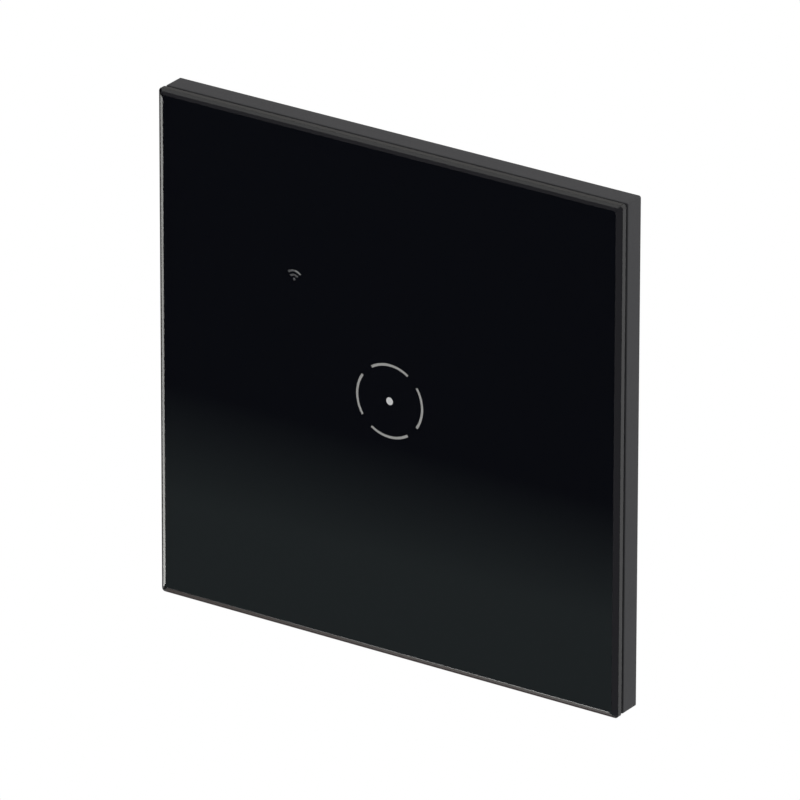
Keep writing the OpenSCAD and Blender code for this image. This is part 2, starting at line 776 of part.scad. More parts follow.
// Block around the core's middle leg, given its half height, half width and ends
module leg_block(half_y, half_z, x0, x1) box(
  [x0, transformer_y - half_y, transformer_mid - half_z],
  [x1, transformer_y + half_y, transformer_mid + half_z]);

bobbin_x0 = transformer_x + core_yoke + bobbin_fit;
bobbin_x1 = transformer_x + core_w - core_yoke - bobbin_fit;
sleeve_y = core_t / 2 + bobbin_fit + bobbin_t;
sleeve_z = core_leg / 2 + bobbin_fit + bobbin_t;
cheek_y = transformer_y - y_parts;
cheek_z = core_w / 2 - core_leg / 2 - bobbin_fit;
module transformer_bobbin() color("#e9e2c8") difference() {
  union() {
    leg_block(sleeve_y, sleeve_z, bobbin_x0, bobbin_x1);
    leg_block(cheek_y, cheek_z, bobbin_x0, bobbin_x0 + bobbin_t);
    leg_block(cheek_y, cheek_z, bobbin_x1 - bobbin_t, bobbin_x1);
  }
  leg_block(sleeve_y - bobbin_t, sleeve_z - bobbin_t, bobbin_x0 - over, bobbin_x1 + over);
}

module transformer_winding() color("#d8b52c") difference() {
  leg_block(cheek_y - winding_inset[0], cheek_z - winding_inset[1],
            bobbin_x0 + bobbin_t, bobbin_x1 - bobbin_t);
  leg_block(sleeve_y, sleeve_z, bobbin_x0, bobbin_x1);
}

// Electrolytic can standing on the power board, with its rolled groove and bevelled top
module can(x, z, r, h) turned_back(x, y_parts, z, [
  [0, 0], [r - can_edge, 0], [r, can_edge],
  for (step = [0 : 2]) [r - (step == 1 ? can_groove[2] : 0), can_groove[0] + step * can_groove[1]],
  [r, h - can_edge], [r - can_edge, h], [0, h]]);

module electrolytic_capacitors() color("#23272e") {
  can(large_cap_x, caps_z, large_cap_r, large_cap_h);
  can(small_cap_x, caps_z, small_cap_r, small_cap_h);
}

module film_capacitor() color("#e2b93b") box(
  [film_cap_x, y_parts, film_cap_z],
  [film_cap_x + film_cap_l, y_parts + film_cap_h, film_cap_z + film_cap_w]);

// Lead standing on the power board
module lead(x, z, h) rod(x, z, lead_r, y_parts, y_parts + h);

module varistor() color("#2a6db0") {
  y = y_parts + lead_h + varistor_r;
  half = varistor_t / 2;
  translate([varistor_x, y, varistor_z + half]) rotate_extrude() polygon(
    [[0, -half], [varistor_r - varistor_edge, -half], [varistor_r, varistor_edge - half],
     [varistor_r, half - varistor_edge], [varistor_r - varistor_edge, half], [0, half]]);
  for (x = [-1, 1]) lead(varistor_x + x * varistor_r * lead_spread, varistor_z + half, lead_h + varistor_r);
}

module fuse() color("#cdbb92") {
  y = y_parts + fuse_r + fuse_stand;
  translate([fuse_x, y, fuse_z]) rotate([0, 90, 0]) cylinder(r = fuse_r, h = fuse_l);
  translate([fuse_x - fuse_lead, y, fuse_z]) rotate([0, 90, 0])
    cylinder(r = lead_r, h = fuse_l + 2 * fuse_lead);
  for (x = [fuse_x - fuse_lead, fuse_x + fuse_l + fuse_lead]) {
    lead(x, fuse_z, y - y_parts);
    translate([x, y, fuse_z]) sphere(lead_r);
  }
}

module bridge_rectifier() color("#1d1e20") translate([bridge_x, y_parts, bridge_z]) {
  box([0, bridge_stand, 0], bridge_size);
  for (x = [bridge_leg_in, bridge_size[0] - bridge_leg_in - bridge_leg[0]],
       z = [-bridge_leg_out, bridge_size[2] + bridge_leg_out - bridge_leg[2]])
    translate([x, 0, z]) cube(bridge_leg);
}

module terminal_block() color("#2f6b46") difference() {
  box([-block_w / 2, y_parts, block_z], [block_w / 2, y_block, block_end]);
  for (pole = poles) translate([pole * pole_pitch, 0, 0]) {
    box([-chamber_w / 2, y_chamber, chamber_z], [chamber_w / 2, y_web, chamber_end]);
    box([-leg_w / 2 - pin_clear, y_parts - over, leg_z - pin_clear],
        [leg_w / 2 + pin_clear, y_chamber + over, chamber_end]);
    rod(0, screw_z, screw_r + hole_clear, y_web - over, y_block);
    rod(0, screw_z, head_r + hole_clear, y_web_top, y_block + over);
    translate([0, wire_y, block_z - over]) cylinder(r = wire_r, h = entry_wall + 2 * over);
  }
}

module terminal_contacts() color("#c8a24c") for (pole = poles) translate([pole * pole_pitch, 0, 0]) {
  box([-bar_w / 2, y_bar, chamber_z + pin_clear], [bar_w / 2, y_bar_top, leg_z + bar_t]);
  box([-leg_w / 2, y_power - leg_foot, leg_z], [leg_w / 2, y_bar_top, leg_z + bar_t]);
}

// Rising clamp cage of one terminal, drawn fully open
module terminal_cage(pole) color("#b7babd") translate([pole * pole_pitch, 0, 0]) difference() {
  box([-cage_w / 2, y_cage, cage_z], [cage_w / 2, y_cage_top, cage_z + cage_d]);
  box([-cage_window / 2, y_jaw, cage_z - over], [cage_window / 2, y_nut, cage_z + cage_d + over]);
  rod(0, screw_z, screw_r + pin_clear, y_nut - over, y_cage_top + over);
}

module terminal_cage_1() terminal_cage(poles[0]);
module terminal_cage_2() terminal_cage(poles[1]);
module terminal_cage_3() terminal_cage(poles[2]);

// Terminal screw with its head at the rear and a straight driver slot
module terminal_screw(pole) color("#c6c8cb") difference() {
  union() {
    rod(pole * pole_pitch, screw_z, screw_r, y_bar_top + web_gap, y_head);
    rod(pole * pole_pitch, screw_z, head_r, y_head, y_head_top);
  }
  box([pole * pole_pitch - head_r - over, y_head_top - driver_slot[1], screw_z - driver_slot[0] / 2],
      [pole * pole_pitch + head_r + over, y_head_top + over, screw_z + driver_slot[0] / 2]);
}

module terminal_screw_1() terminal_screw(poles[0]);
module terminal_screw_2() terminal_screw(poles[1]);
module terminal_screw_3() terminal_screw(poles[2]);

// Walls of the housing with its bosses and posts, before its holes are cut
module housing_shell() {
  difference() {
    edged_plate(housing_w, housing_r, -seat_d, housing_d, [0, 0], [housing_edge, housing_edge]);
    slab(-seat_d - over, y_back) rounded_square(2 * room_half, room_r);
  }
  corners(boss_c) rod(0, 0, boss_r, -seat_d, y_back + housing_wall / 2);
  for (x = [-1, 1]) {
    rod(x * post_x, 0, post_r, y_parts, y_back + housing_wall / 2);
    translate([x * (post_x + room_half) / 2, (y_parts + y_back) / 2, 0])
      cube([room_half - post_x + housing_wall, y_back - y_parts, post_rib], center = true);
  }
}

module rear_housing() color("#34363a") difference() {
  housing_shell();
  corners(boss_c) rod(0, 0, housing_screw_r + thread_clear, -seat_d - over, housing_screw_l);
  for (x = [-1, 1]) rod(x * post_x, 0, board_screw_r + thread_clear, y_parts - over, board_screw_l + over);
  for (pole = poles) rod(pole * pole_pitch, screw_z, head_r + cage_clear, y_back - over, housing_d + over);
  box([-block_w / 2, wire_y - entry_window_h / 2, -housing_w / 2 - over],
      [block_w / 2, wire_y + entry_window_h / 2, -room_half + over / 2]);
  for (i = [0 : vents - 1])
    translate([(i - (vents - 1) / 2) * vent_pitch, (y_parts + y_back) / 2, housing_w / 2])
      cube([vent_w, vent_l, 2 * housing_wall + over], center = true);
}

module housing_screws() color("#c6c8cb") corners(boss_c)
  screw(0, y_floor, 0, housing_screw_r, housing_screw_head, housing_screw_l);

glass_panel();
ink_mask();
diffuser_film();
bond_tape();
panel_carrier();
mounting_frame();
light_shroud();
dot_light_pipe();
signal_light_pipe();
touch_spring();
sensor_board();
touch_leds();
signal_led();
touch_chip();
wireless_board();
wireless_shield();
board_screws();
board_spacers();
header_body();
header_pins();
power_board();
relay_base();
relay_case();
relay_yoke();
relay_core();
relay_bobbin();
relay_winding();
relay_armature();
relay_contact_leaf();
relay_fixed_contact();
transformer_core();
transformer_bobbin();
transformer_winding();
electrolytic_capacitors();
film_capacitor();
varistor();
fuse();
bridge_rectifier();
terminal_block();
terminal_contacts();
terminal_cage_1();
terminal_cage_2();
terminal_cage_3();
terminal_screw_1();
terminal_screw_2();
terminal_screw_3();
rear_housing();
housing_screws();
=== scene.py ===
"""Touch light switch: its glass, plastics, boards and studio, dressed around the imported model."""

import json
import math

import bpy
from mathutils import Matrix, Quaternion, Vector

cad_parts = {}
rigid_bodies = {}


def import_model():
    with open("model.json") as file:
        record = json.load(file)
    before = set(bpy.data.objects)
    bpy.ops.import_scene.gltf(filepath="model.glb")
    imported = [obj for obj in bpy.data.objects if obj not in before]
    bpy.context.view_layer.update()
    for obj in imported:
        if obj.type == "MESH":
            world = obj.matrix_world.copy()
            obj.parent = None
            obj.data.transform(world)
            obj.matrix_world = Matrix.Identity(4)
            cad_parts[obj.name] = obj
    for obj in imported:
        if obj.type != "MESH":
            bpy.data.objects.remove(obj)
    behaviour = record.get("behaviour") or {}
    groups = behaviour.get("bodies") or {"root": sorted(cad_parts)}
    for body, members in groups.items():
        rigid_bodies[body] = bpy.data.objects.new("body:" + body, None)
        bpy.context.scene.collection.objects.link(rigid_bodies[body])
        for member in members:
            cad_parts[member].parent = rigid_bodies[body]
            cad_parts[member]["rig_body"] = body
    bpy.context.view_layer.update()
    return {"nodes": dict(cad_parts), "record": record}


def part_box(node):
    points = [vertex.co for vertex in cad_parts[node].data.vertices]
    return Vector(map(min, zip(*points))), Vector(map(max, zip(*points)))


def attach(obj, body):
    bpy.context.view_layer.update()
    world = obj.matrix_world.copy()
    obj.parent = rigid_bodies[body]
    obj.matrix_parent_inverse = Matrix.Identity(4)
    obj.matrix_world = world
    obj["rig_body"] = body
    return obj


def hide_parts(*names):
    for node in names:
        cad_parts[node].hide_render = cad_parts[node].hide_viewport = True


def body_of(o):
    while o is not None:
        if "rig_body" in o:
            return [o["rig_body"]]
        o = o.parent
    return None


bl_info = {
    "name": "Touch Light Switch",
    "version": (1, 0, 0),
    "blender": (4, 5, 0),
    "location": "View3D > Sidebar > Switch",
    "description": "Dresses a square glass touch switch, its module and its studio",
    "category": "Add Mesh",
}

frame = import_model()
MM = 0.001
# Points closer than this are level with each other
NEAR = 0.01 * MM
# A face whose normal's Y is below this looks to the front
TO_FRONT = -0.99


def colour(name, text, value):
    """A colour that a user may change."""
    return bpy.props.FloatVectorProperty(
        name=name, description=text, default=value, size=3, min=0, max=1, subtype="COLOR")


def length(name, text, value):
    """A length in metres that a user may change."""
    return bpy.props.FloatProperty(
        name=name, description=text, default=value, min=0, precision=5,
        unit="LENGTH", subtype="DISTANCE")


def number(name, text, value):
    """A plain number that a user may change."""
    return bpy.props.FloatProperty(name=name, description=text, default=value, min=0)


class SwitchSizes(bpy.types.PropertyGroup):
    """Sizes of the pieces that are modelled here."""

    inner_width: length("Inner width", "Width of the facet next to the face of the glass", 0.55 * MM)
    inner_depth: length("Inner depth", "Depth of the facet next to the face of the glass", 0.16 * MM)
    outer_width: length("Outer width", "Width of the facet next to the side of the glass", 0.45 * MM)
    outer_depth: length("Outer depth", "Depth of the facet next to the side of the glass", 0.24 * MM)
    corner: length("Corner", "Radius of the glass plate's corners", 0.6 * MM)
    edge_round: length("Edge round", "Rounding of the polished outer edge of the glass", 0.08 * MM)
    rear_arris: length("Rear arris", "Arris ground off the rear edge of the glass", 0.25 * MM)
    spring_wire: length("Spring wire", "Diameter of the touch spring's wire", 0.45 * MM)
    spring_narrow: length("Spring narrow end", "Radius of the touch spring at the sensor board", 3.0 * MM)
    spring_wide: length("Spring wide end", "Radius of the touch spring at the glass", 4.1 * MM)
    spring_turns: number("Spring turns", "Turns of the touch spring", 4.0)


class SwitchColours(bpy.types.PropertyGroup):
    """Colours of the finishes."""

    frame: colour("Frame", "Moulded frame round the glass", (0.030, 0.030, 0.0325))
    housing: colour("Housing", "Moulded housing behind the wall face", (0.035, 0.036, 0.04))
    ink: colour("Ink", "Black print on the rear of the glass", (0.0009, 0.0010, 0.0013))
    board: colour("Board", "Solder mask of the boards", (0.012, 0.105, 0.045))
    # The ring, dot and signal colours are painted glow: emission of the film that stands in for the light
    # falling on it through the glass.
    ring_light: colour("Ring light", "Glow of the touch ring's arcs", (0.213, 0.211, 0.202))
    dot_light: colour("Dot light", "Glow of the dot in the touch ring", (0.452, 0.455, 0.452))
    signal_light: colour("Signal light", "Glow of the signal mark", (0.026, 0.0267, 0.0262))


class SwitchStudio(bpy.types.PropertyGroup):
    """Camera and light of the studio."""

    azimuth: number("Azimuth", "Camera's turn to the right, in degrees", 33.82)
    elevation: number("Elevation", "Camera's height above the horizon, in degrees", 23.52)
    distance: length("Distance", "Camera's distance from the switch", 2.0)
    lens: number("Lens", "Focal length in millimetres", 578.5)
    ambient: number("Ambient", "Strength of the white surroundings on matt surfaces", 0.55)
    key: number("Key", "Power of the main lamp in watts", 7.0)
    floor_drop: length("Floor drop", "Height of the switch above the floor", 0.6)


class Value:
    """A shader socket: sums and products of it, written as Python, add their Math nodes."""

    def __init__(self, paint, socket):
        self.paint = paint
        self.socket = socket

    def math(self, operation, *values):
        """A Math node with these values."""
        return self.paint.node("ShaderNodeMath", {"operation": operation}, dict(enumerate(values)))

    def __add__(self, other):
        return self.math("ADD", self, other)

    def __sub__(self, other):
        return self.math("SUBTRACT", self, other)

    def __rsub__(self, other):
        return self.math("SUBTRACT", other, self)

    def __mul__(self, other):
        return self.math("MULTIPLY", self, other)

    def __truediv__(self, other):
        return self.math("DIVIDE", self, other)

    def __pow__(self, other):
        return self.math("POWER", self, other)

    def __gt__(self, other):
        return self.math("GREATER_THAN", self, other)

    def __lt__(self, other):
        return self.math("LESS_THAN", self, other)

    __radd__ = __add__
    __rmul__ = __mul__

    def ramp(self, low, high, start=0.0, end=1.0, kind="SMOOTHSTEP"):
        """This value from low to high, turned into start to end and held outside."""
        return self.paint.node("ShaderNodeMapRange", {"interpolation_type": kind},
                               {0: self, 1: low, 2: high, 3: start, 4: end})

    def peak(self, other):
        """The larger of two values."""
        return self.math("MAXIMUM", self, other)

    def size(self):
        """This value without its sign."""
        return self.math("ABSOLUTE", self)

    def fold(self, width):
        """This value run to and fro between 0 and a width."""
        return self.math("PINGPONG", self, width)

    def fraction(self):
        """What is left of this value past a whole number."""
        return self.math("FRACT", self)

    def sine(self):
        """The sine of this value in radians."""
        return self.math("SINE", self)


class Paint:
    """A material, or the world, whose nodes all come from one method."""

    def __init__(self, owner):
        owner.use_nodes = True
        self.owner = owner
        self.tree = owner.node_tree
        self.tree.nodes.clear()

    def node(self, kind, settings=None, inputs=None, output=0):
        """A node of a type: its settings first, then the values or links of its sockets."""
        made = self.tree.nodes.new(kind)
        for key, value in (settings or {}).items():
            setattr(made, key, value)
        for key, value in (inputs or {}).items():
            if isinstance(value, Value):
                self.tree.links.new(value.socket, made.inputs[key])
            else:
                made.inputs[key].default_value = value
        return Value(self, made.outputs[output]) if made.outputs else None

    def place(self, scale=(1, 1, 1)):
        """Object coordinates, stretched."""
        coords = self.node("ShaderNodeTexCoord", output=3)
        return self.node("ShaderNodeMapping", None, {0: coords, 3: scale})

    def axes(self, place):
        """The x, y and z of a vector."""
        split = self.node("ShaderNodeSeparateXYZ", None, {0: place})
        outputs = split.socket.node.outputs
        return [Value(self, outputs[i]) for i in range(3)]

    def noise(self, place, scale, detail=2.0, rough=0.5):
        """Noise of a number of lumps to the metre."""
        return self.node("ShaderNodeTexNoise", None, {
            "Vector": place, "Scale": scale, "Detail": detail, "Roughness": rough})

    def mix(self, factor, a, b):
        """Colour a where the factor is 0 and colour b where it is 1."""
        full = [c if isinstance(c, Value) else (*c[:3], 1.0) for c in (a, b)]
        inputs = {0: factor, 6: full[0], 7: full[1]}
        return self.node("ShaderNodeMix", {"data_type": "RGBA"}, inputs, 2)

    def bump(self, height, distance, edge=0.0):
        """A relief of a height, on a surface whose edges are softened by a radius."""
        inputs = {"Strength": 1.0, "Distance": distance, "Height": height}
        if edge:
            inputs["Normal"] = self.node("ShaderNodeBevel", {"samples": 4}, {"Radius": edge})
        return self.node("ShaderNodeBump", None, inputs)

    def shader(self, **inputs):
        """A Principled shader on the output; spaces in socket names are written as underscores."""
        sockets = {key.replace("_", " "): value for key, value in inputs.items()}
        made = self.node("ShaderNodeBsdfPrincipled", None, sockets)
        self.node("ShaderNodeOutputMaterial", None, {0: made})
        return self.owner


def new_paint(name):
    """The paint of a new material."""
    return Paint(bpy.data.materials.new(name))


# Noise of 0 to 1 seldom leaves this span
SPAN = (0.3, 0.7)
# Threads of a board's glass cloth to the metre, and the span of its roughness
WEAVE = 2500
BOARD_ROUGHNESS = (0.28, 0.4)
# Marks of the mould's pins and gates: distance from the middle across and up, and radius
FRAME_PINS = (
    (37 * MM, 37 * MM, 2.2 * MM), (37 * MM, 12 * MM, 2.2 * MM), (12 * MM, 37 * MM, 2.2 * MM))
HOUSING_PINS = ((0.0, 6 * MM, 1.4 * MM),)
PIN_DEPTH = 0.06 * MM
# How far in front of a rear face the marks of pins begin
PIN_REACH = 0.05 * MM


def shade(tint, factor):
    """A colour made darker or lighter."""
    return tuple(min(1.0, c * factor) for c in tint[:3])


def moulded_plastic(name, tint, grain=0.25 * MM, depth=0.012 * MM, roughness=0.5, gloss=0.5,
                    pins=(), level=0.0):
    """Moulded plastic with a spark-eroded grain, slight flow marks and marks of pins behind a level."""
    paint = new_paint(name)
    place = paint.place()
    texture = paint.noise(place, 1 / grain)
    flow = paint.noise(paint.place((60, 60, 240)), 1.0)
    tone = flow * 0.4 + texture * 0.6
    relief = texture
    x, y, z = paint.axes(place)
    for across, up, radius in pins:
        aside, above = x.size() - across, z.size() - up
        rim = ((aside * aside + above * above) ** 0.5 - radius).size()
        groove = rim.ramp(0.1 * MM, 0.25 * MM, 1.0, 0.0)
        relief = relief - groove * (y > level) * (PIN_DEPTH / depth)
    return paint.shader(
        Base_Color=paint.mix(tone.ramp(*SPAN), shade(tint, 0.93), shade(tint, 1.07)),
        Roughness=texture.ramp(*SPAN, roughness - 0.06, roughness + 0.06),
        Normal=paint.bump(relief, depth, 0.12 * MM), Specular_IOR_Level=gloss)


def worked_metal(name, tint, roughness, stretch=(900, 900, 12000)):
    """Plated or rolled metal with fine drawn lines and faint stains."""
    paint = new_paint(name)
    lines = paint.noise(paint.place(stretch), 1.0, 3.0, 0.6)
    stain = paint.noise(paint.place(), 420, 3.0)
    return paint.shader(
        Base_Color=paint.mix(stain.ramp(0.35, 0.7), tint, shade(tint, 0.8)),
        Metallic=1.0,
        Roughness=(lines * 0.6 + stain * 0.4).ramp(*SPAN, roughness - 0.08, roughness + 0.1),
        Normal=paint.bump(lines, 0.004 * MM, 0.08 * MM))


def clear_glass(sizes):
    """Polished float glass, a little less polished and blackened on its ground bevel and sides."""
    paint = new_paint("clear_glass")
    x, _, z = paint.axes(paint.place())
    reach = x.size().peak(z.size())
    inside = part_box("glass_panel")[1].x - sizes.inner_width - sizes.outer_width
    blend = 0.05 * MM
    ground = reach.ramp(inside - blend, inside + blend)
    return paint.shader(
        Base_Color=paint.mix(ground, (1.0, 1.0, 1.0), (0.025, 0.025, 0.0275)),
        IOR=1.52, Transmission_Weight=1.0, Roughness=ground * 0.03)


def black_ink(colours):
    """Ceramic print bonded to the glass, so that it has no gloss of its own."""
    paint = new_paint("black_ink")
    cloud = paint.noise(paint.place(), 900)
    tint = colours.ink
    return paint.shader(
        Base_Color=paint.mix(cloud, shade(tint, 0.9), shade(tint, 1.1)),
        Roughness=cloud.ramp(*SPAN, 0.55, 0.65), Specular_IOR_Level=0.0)


# Areas of the film: the dot's reach, the ring's inner and outer reach, and the signal mark's corner
DOT_REACH = 2.5 * MM
RING_REACH = (4.5 * MM, 8.0 * MM)
SIGNAL_CORNER = (-14.0 * MM, 13.0 * MM)
# The signal mark's outer arc has a painted highlight, as if lit from the upper right: slope, start and end
# of its painted bright side
SIGNAL_SLOPE = 0.68
SIGNAL_PAINTED_HIGHLIGHT = (0.85 * MM, 1.2 * MM)


def painted_light_film(colours):
    """Grey film with painted glow in the ring, its dot and the signal mark: emission that stands in for
    the light the film gets through the glass.
    """
    paint = new_paint("diffuser")
    fibre = paint.noise(paint.place(), 3000)
    x, _, z = paint.axes(paint.place())
    out = (x * x + z * z) ** 0.5
    dot = out < DOT_REACH
    ring = (out > RING_REACH[0]) * (out < RING_REACH[1])
    signal = (x < SIGNAL_CORNER[0]) * (z > SIGNAL_CORNER[1])
    # Painted glow: emission in the ring and the dot that stands in for light falling on the film.
    painted_glow = paint.mix(ring, (0.0, 0.0, 0.0), colours.ring_light)
    painted_glow = paint.mix(dot, painted_glow, colours.dot_light)
    lo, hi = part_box("signal_light_pipe")
    middle = (lo + hi) / 2
    slant = (x - middle.x) * SIGNAL_SLOPE + (z - middle.z)
    # Painted shade and painted highlight: a dim and a bright copy of the signal colour, brighter to the
    # upper right.
    dim, bright = shade(colours.signal_light, 0.15), shade(colours.signal_light, 4.6)
    painted_glow = paint.mix(signal, painted_glow, paint.mix(slant.ramp(*SIGNAL_PAINTED_HIGHLIGHT), dim, bright))
    return paint.shader(
        Base_Color=paint.mix(fibre, (0.042, 0.042, 0.0435), (0.052, 0.052, 0.0535)),
        Roughness=fibre.ramp(*SPAN, 0.5, 0.7), Emission_Color=painted_glow, Emission_Strength=1.0)


def circuit_board(name, tint, outlined):
    """Solder mask over bundles of tracks, with tinned vias and printed outlines round some nodes."""
    paint = new_paint(name)
    place = paint.place()
    x, y, z = paint.axes(place)
    cell = paint.node("ShaderNodeTexVoronoi", {"distance": "CHEBYCHEV"},
                      {"Vector": place, "Scale": 1 / (4.2 * MM), "Randomness": 0.55}, 1)
    pick = paint.axes(cell)
    pitch = 0.42 * MM
    lanes = [(axis * (1 / pitch)).fold(1.0).ramp(0.55, 0.7) for axis in (x, z)]
    level = pick[0] > 0.5
    track = (lanes[0] * (1 - level) + lanes[1] * level) * (pick[1] > 0.3)
    via = paint.node("ShaderNodeTexVoronoi", None,
                     {"Vector": place, "Scale": 1 / (3.4 * MM), "Randomness": 1.0})
    tinned = via.ramp(0.07, 0.09, 1.0, 0.0)
    weave = paint.noise(place, WEAVE, 1.0)
    mask = paint.mix(track, paint.mix(weave, shade(tint, 0.85), tint), shade(tint, 1.7))
    away, behind = 0.45 * MM, 1.5 * MM
    for node in outlined:
        lo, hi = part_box(node)
        spans = ((x, lo.x, hi.x), (z, lo.z, hi.z))
        reach = [(axis - (a + b) / 2).size() - (b - a) / 2 for axis, a, b in spans]
        line = (reach[0].peak(reach[1]) - away).size().ramp(0.06 * MM, 0.09 * MM, 1.0, 0.0)
        mask = paint.mix(line * (weave > 0.3) * (y < hi.y + behind), mask, (0.72, 0.72, 0.7))
    return paint.shader(
        Base_Color=paint.mix(tinned, mask, (0.62, 0.6, 0.55)), Metallic=tinned,
        Roughness=weave.ramp(*SPAN, *BOARD_ROUGHNESS), Normal=paint.bump(track + weave * 0.1, 0.02 * MM))


def wireless_mask(name, tint):
    """Solder mask with a folded antenna track and tinned pads along two sides."""
    paint = new_paint(name)
    place = paint.place()
    x, _, z = paint.axes(place)
    lo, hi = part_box("wireless_board")
    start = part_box("wireless_shield")[1].x + 0.5 * MM
    end, fold, width, margin = hi.x - 0.4 * MM, 1.1 * MM, 0.2 * MM, 0.6 * MM
    pad_long, pad_pitch, pad_gap = 0.5 * MM, 0.7 * MM, 0.32 * MM
    line = ((z - lo.z).fold(fold / 2) - fold / 4).size()
    rows = line.ramp(width, width + 0.03 * MM, 1.0, 0.0) * (x > start) * (x < end)
    step = ((z - lo.z - fold / 4) / fold).fraction()
    turns = ((x < start + 2 * width) * (x > start) * (step > 0.5)).peak(
        (x > end - 2 * width) * (x < end) * (step < 0.5))
    antenna = rows.peak(turns) * (z > lo.z + margin) * (z < hi.z - margin)
    side = (z - (lo.z + hi.z) / 2).size() > (hi.z - lo.z) / 2 - pad_long
    pads = side * ((x - lo.x).fold(pad_pitch) > pad_gap) * (x < start)
    weave = paint.noise(place, WEAVE, 1.0)
    mask = paint.mix(antenna, paint.mix(weave, shade(tint, 0.85), tint), (0.16, 0.2, 0.3))
    return paint.shader(
        Base_Color=paint.mix(pads, mask, (0.7, 0.68, 0.62)), Metallic=pads,
        Roughness=weave.ramp(*SPAN, *BOARD_ROUGHNESS), Normal=paint.bump(antenna + weave * 0.1, 0.03 * MM))


def clear_plastic(name, tint):
    """Clear plastic with a faint cloud in its polish."""
    paint = new_paint(name)
    cloud = paint.noise(paint.place(), 1500)
    return paint.shader(
        Base_Color=paint.mix(cloud, tint, shade(tint, 1.05)), IOR=1.49, Transmission_Weight=0.9,
        Roughness=cloud.ramp(*SPAN, 0.04, 0.12))


def wound_wire(name, tint):
    """Enamelled wire in tight turns, with painted shade in the creases between the turns."""
    paint = new_paint(name)
    pitch = 0.14 * MM
    x = paint.axes(paint.place())[0]
    wave = (x * (math.pi / pitch)).sine().size()
    return paint.shader(
        # Painted shade: the colour is darker in the creases between the turns.
        Base_Color=paint.mix(wave, shade(tint, 0.4), tint), Metallic=0.8,
        Roughness=wave.ramp(0.0, 1.0, 0.5, 0.25), Normal=paint.bump(wave, 0.05 * MM))


def glossy_coat(name, tint, roughness, lump=1.2 * MM):
    """Dipped or moulded coat with a soft orange peel."""
    paint = new_paint(name)
    peel = paint.noise(paint.place(), 1 / lump)
    fine = paint.noise(paint.place(), 5000)
    return paint.shader(
        Base_Color=paint.mix(peel, shade(tint, 0.85), shade(tint, 1.1)),
        Roughness=fine.ramp(*SPAN, roughness - 0.05, roughness + 0.08),
        Normal=paint.bump(peel, 0.05 * MM, 0.15 * MM))


def finishes(sizes, colours):
    """Every material by its slot in the record."""
    return {
        "clear_glass": clear_glass(sizes),
        "black_ink": black_ink(colours),
        "diffuser": painted_light_film(colours),
        "bond_tape": moulded_plastic("bond_tape", (0.014, 0.014, 0.015), 0.4 * MM, 0.04 * MM, 0.8),
        "carrier_plastic": moulded_plastic("carrier_plastic", (0.022, 0.022, 0.024), roughness=0.6),
        "frame_plastic": moulded_plastic(
            "frame_plastic", colours.frame, 0.22 * MM, 0.012 * MM, 0.5, 0.35, FRAME_PINS, -PIN_REACH),
        "white_plastic": moulded_plastic("white_plastic", (0.78, 0.78, 0.76), roughness=0.45),
        "clear_plastic": clear_plastic("clear_plastic", (0.85, 0.88, 0.9)),
        "spring_wire": worked_metal("spring_wire", (0.78, 0.57, 0.24), 0.2),
        "circuit_board": circuit_board(
            "circuit_board", colours.board, ("touch_chip", "wireless_board")),
        "wireless_mask": wireless_mask("wireless_mask", (0.006, 0.02, 0.07)),
        "led_lens": glossy_coat("led_lens", (0.85, 0.74, 0.3), 0.3),
        "chip_epoxy": moulded_plastic("chip_epoxy", (0.014, 0.014, 0.015), 0.12 * MM, 0.006 * MM, 0.55),
        "shield_tin": worked_metal("shield_tin", (0.66, 0.67, 0.68), 0.3, (14000, 900, 500)),
        "zinc_steel": worked_metal("zinc_steel", (0.62, 0.63, 0.65), 0.3, (1800, 400, 1800)),
        "black_nylon": moulded_plastic("black_nylon", (0.012, 0.012, 0.013), roughness=0.5),
        "gold_pin": worked_metal("gold_pin", (0.8, 0.6, 0.25), 0.2, (3000, 300, 3000)),
        "relay_plastic": moulded_plastic("relay_plastic", (0.015, 0.075, 0.3), roughness=0.42),
        "soft_iron": worked_metal("soft_iron", (0.5, 0.5, 0.51), 0.35, (500, 9000, 500)),
        "bobbin_plastic": moulded_plastic("bobbin_plastic", (0.62, 0.55, 0.38), roughness=0.45),
        "copper_wire": wound_wire("copper_wire", (0.6, 0.22, 0.07)),
        "contact_copper": worked_metal("contact_copper", (0.72, 0.4, 0.2), 0.28, (500, 9000, 500)),
        "ferrite": moulded_plastic("ferrite", (0.03, 0.03, 0.032), 0.1 * MM, 0.01 * MM, 0.55),
        "winding_tape": glossy_coat("winding_tape", (0.75, 0.5, 0.02), 0.25),
        "can_sleeve": glossy_coat("can_sleeve", (0.012, 0.016, 0.03), 0.2, 4 * MM),
        "yellow_box": moulded_plastic("yellow_box", (0.75, 0.48, 0.03), roughness=0.35),
        "blue_disc": glossy_coat("blue_disc", (0.01, 0.09, 0.33), 0.25),
        "fuse_body": glossy_coat("fuse_body", (0.5, 0.36, 0.18), 0.3),
        "terminal_plastic": moulded_plastic("terminal_plastic", (0.015, 0.16, 0.05), roughness=0.42),
        "terminal_brass": worked_metal("terminal_brass", (0.7, 0.5, 0.2), 0.28, (500, 500, 9000)),
        "housing_plastic": moulded_plastic(
            "housing_plastic", colours.housing, 0.4 * MM, 0.04 * MM, 0.55, 0.5,
            HOUSING_PINS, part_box("rear_housing")[1].y - PIN_REACH),
    }


